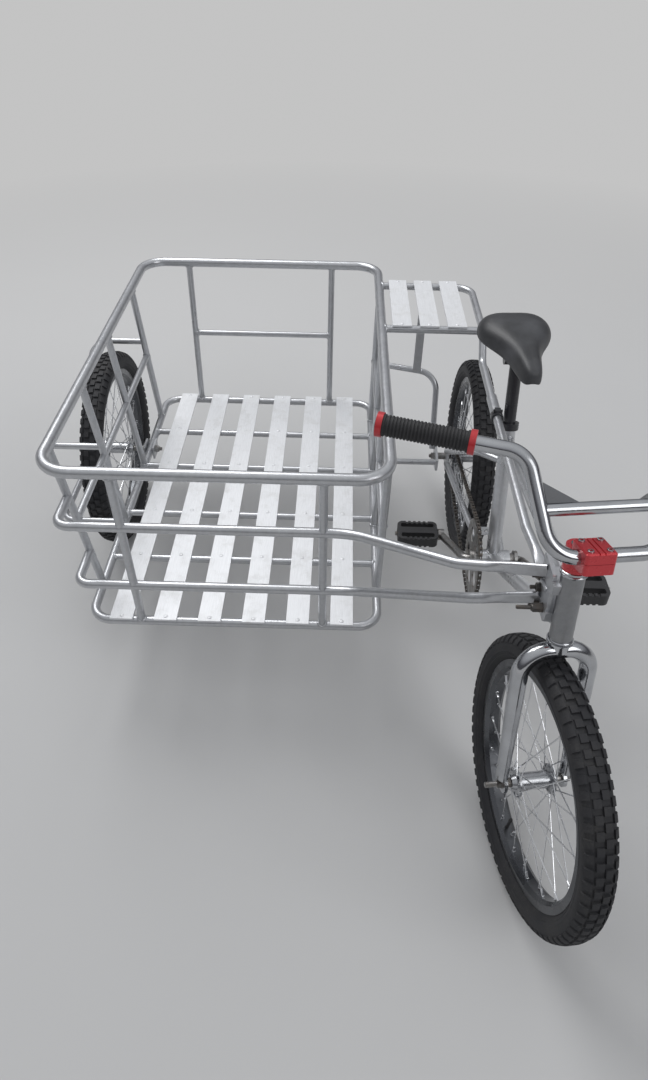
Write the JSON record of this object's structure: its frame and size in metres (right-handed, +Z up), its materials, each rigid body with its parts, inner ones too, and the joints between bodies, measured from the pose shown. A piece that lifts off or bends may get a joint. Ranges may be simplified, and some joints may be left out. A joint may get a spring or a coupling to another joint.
{
  "type": "cycle rickshaw with a side basket",
  "caption": "Pedal bicycle with small wheels, steering and cranks, joined on its right to a tube-framed cargo basket with a third wheel.",
  "frame": {"origin": "on the ground under the middle of the whole vehicle", "axes": "+Z up, it drives towards -Y, and +X is the rider's left, the bicycle's side"},
  "size_m": [1.3342, 1.5111, 0.8647],
  "materials": {
    "silver_paint": "satin silver paint, worn",
    "frame_paint": "satin silver paint",
    "chrome": "polished, slightly dull",
    "steel": "plain, oily in places",
    "alloy": "brushed",
    "spoke_steel": "bright wire",
    "tyre": "matt black, dusty",
    "black_metal": "satin black",
    "saddle_cover": "matt black with a soft sheen",
    "grip_rubber": "matt black",
    "red_metal": "gloss red",
    "pedal_plastic": "matt black"
  },
  "bodies": {
    "chassis": {"head_tube": "chrome", "headset_cups": "chrome", "top_tube": "frame_paint", "down_tube": "frame_paint", "seat_tube": "frame_paint", "bottom_bracket_shell": "frame_paint", "chain_stays": "frame_paint", "seat_stays": "frame_paint", "rear_dropouts": "frame_paint", "rear_axle": "steel", "seat_clamp": "black_metal", "seat_post": "black_metal", "saddle": "saddle_cover", "chain": "steel", "top_rim": "silver_paint", "floor_rim": "silver_paint", "floor_cross_tubes": "silver_paint", "floor_slats": "silver_paint", "rear_posts": "silver_paint", "front_posts": "silver_paint", "left_posts": "silver_paint", "right_posts": "silver_paint", "left_mid_rail": "silver_paint", "right_mid_rail": "silver_paint", "rear_mid_rail": "silver_paint", "upper_arm": "silver_paint", "lower_arm": "silver_paint", "head_bracket": "silver_paint", "axle_plates": "silver_paint", "outer_struts": "silver_paint", "side_axle": "steel", "link_arms": "silver_paint", "carrier_frame": "silver_paint", "carrier_slats": "silver_paint"},
    "steering": {"fork": "chrome", "front_axle": "steel", "stem": "red_metal", "handlebar": "chrome", "grips": "grip_rubber", "grip_rings": "red_metal"},
    "front_wheel": {"front_tyre": "tyre", "front_rim": "alloy", "front_spokes": "spoke_steel", "front_hub": "alloy"},
    "rear_wheel": {"rear_tyre": "tyre", "rear_rim": "alloy", "rear_spokes": "spoke_steel", "rear_hub": "alloy"},
    "side_wheel": {"side_tyre": "tyre", "side_rim": "alloy", "side_spokes": "spoke_steel", "side_hub": "alloy"},
    "crank": {"crank_spindle": "steel", "crank_arms": "alloy", "chainring": "steel"},
    "pedal_right": {"pedal_right": "pedal_plastic"},
    "pedal_left": {"pedal_left": "pedal_plastic"}
  },
  "joints": [
    {"name": "steering_turn", "type": "hinge", "parent": "chassis", "child": "steering", "pos_m": [0.345, -0.4224, 0.603], "axis": [0, 0.2079, 0.9781], "range_deg": [-50, 31]},
    {"name": "front_wheel_spin", "type": "hinge", "parent": "steering", "child": "front_wheel", "pos_m": [0.34599, -0.50264, 0.25433], "axis": [0.9863, 0.1614, -0.0343], "continuous": true},
    {"name": "rear_wheel_spin", "type": "hinge", "parent": "chassis", "child": "rear_wheel", "pos_m": [0.345, 0.4696, 0.254], "axis": [1, 0, 0], "continuous": true},
    {"name": "side_wheel_spin", "type": "hinge", "parent": "chassis", "child": "side_wheel", "pos_m": [-0.595, 0.4696, 0.254], "axis": [1, 0, 0], "continuous": true},
    {"name": "crank_turn", "type": "hinge", "parent": "chassis", "child": "crank", "pos_m": [0.345, 0.0296, 0.285], "axis": [1, 0, 0], "continuous": true},
    {"name": "pedal_right_spin", "type": "hinge", "parent": "crank", "child": "pedal_right", "pos_m": [0.251, 0.18204, 0.22186], "axis": [1, 0, 0], "continuous": true},
    {"name": "pedal_left_spin", "type": "hinge", "parent": "crank", "child": "pedal_left", "pos_m": [0.439, -0.12284, 0.34814], "axis": [1, 0, 0], "continuous": true}
  ]
}
